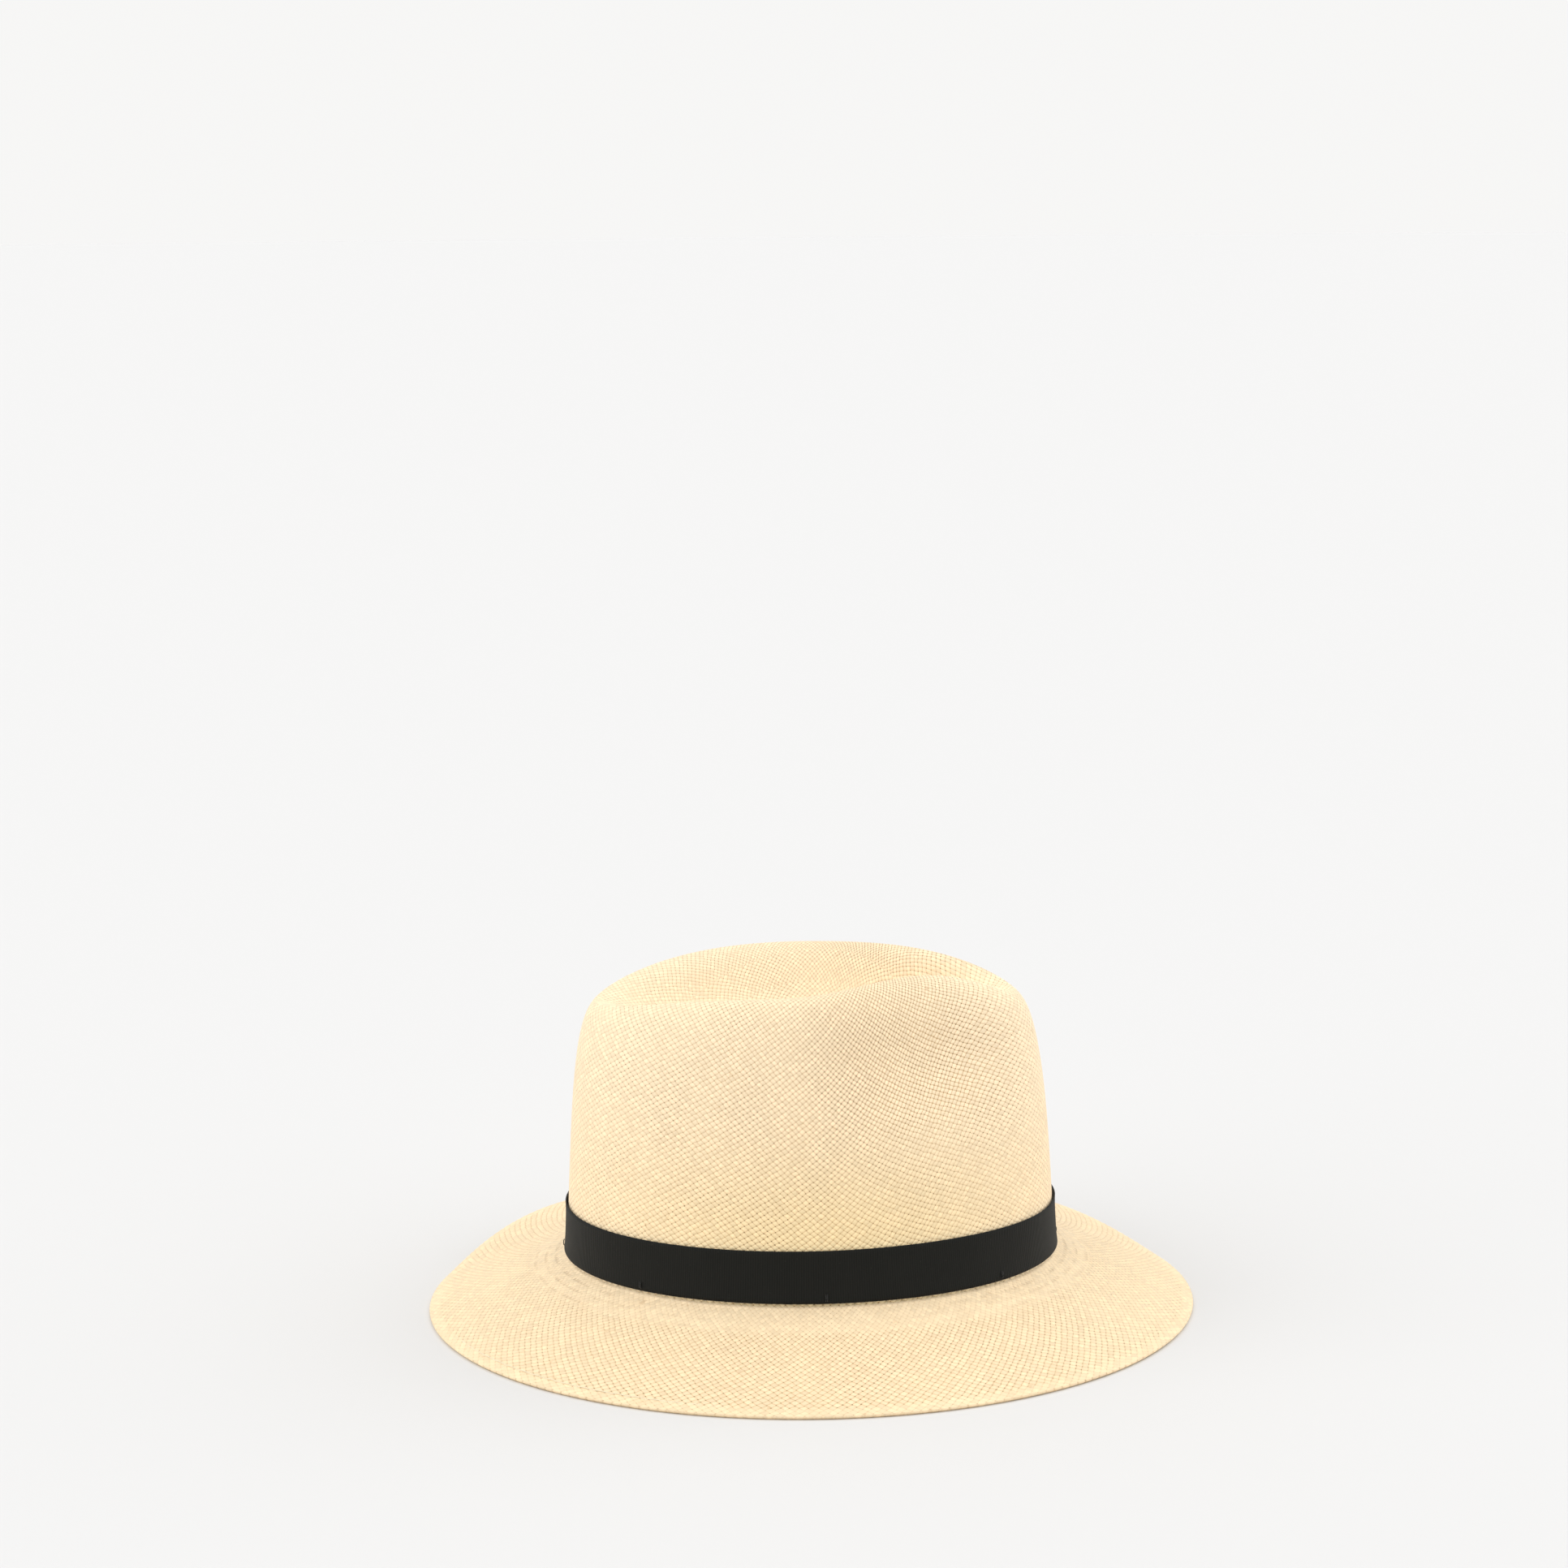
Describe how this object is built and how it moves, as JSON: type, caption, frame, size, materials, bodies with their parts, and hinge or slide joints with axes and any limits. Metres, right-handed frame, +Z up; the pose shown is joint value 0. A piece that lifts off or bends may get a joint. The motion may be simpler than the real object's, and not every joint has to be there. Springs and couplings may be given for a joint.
{
  "type": "panama hat",
  "caption": "Woven straw fedora with a teardrop crown pinched at the front, a down-sloping brim, a flat grosgrain hatband and a sewn-in sweatband.",
  "frame": {"origin": "middle of the hat's footprint, on the surface that the brim edge rests on", "axes": "+X towards the wearer's front, +Y towards the wearer's left (the bow side), +Z up"},
  "size_m": [0.3152, 0.2826, 0.1423],
  "materials": {
    "straw": "hand-woven toquilla straw, cream, low sheen",
    "ribbon": "black grosgrain with fine upright ribs, matt",
    "band_thread": "black sewing thread",
    "sweat_leather": "thin tan roan leather, semi-matt",
    "reed": "cloth-covered piping",
    "seam_thread": "natural waxed thread",
    "lining_ribbon": "narrow black ribbon",
    "label": "plain woven label, blank",
    "hem_thread": "pale straw-coloured thread"
  },
  "bodies": {
    "root": {"straw_body": "straw", "hatband_ribbon": "ribbon", "bow_front_wing": "ribbon", "bow_rear_wing": "ribbon", "bow_keeper": "ribbon", "sweatband": "sweat_leather", "sweatband_reed": "reed", "sweatband_seam_thread": "seam_thread", "sweatband_rear_tape": "lining_ribbon", "sweatband_rear_bow": "lining_ribbon", "size_label": "label", "brim_hem_thread": "hem_thread", "hatband_tack_1": "band_thread", "hatband_tack_2": "band_thread", "hatband_tack_3": "band_thread", "hatband_tack_4": "band_thread", "hatband_tack_5": "band_thread", "hatband_tack_6": "band_thread", "hatband_tack_7": "band_thread"}
  },
  "joints": []
}
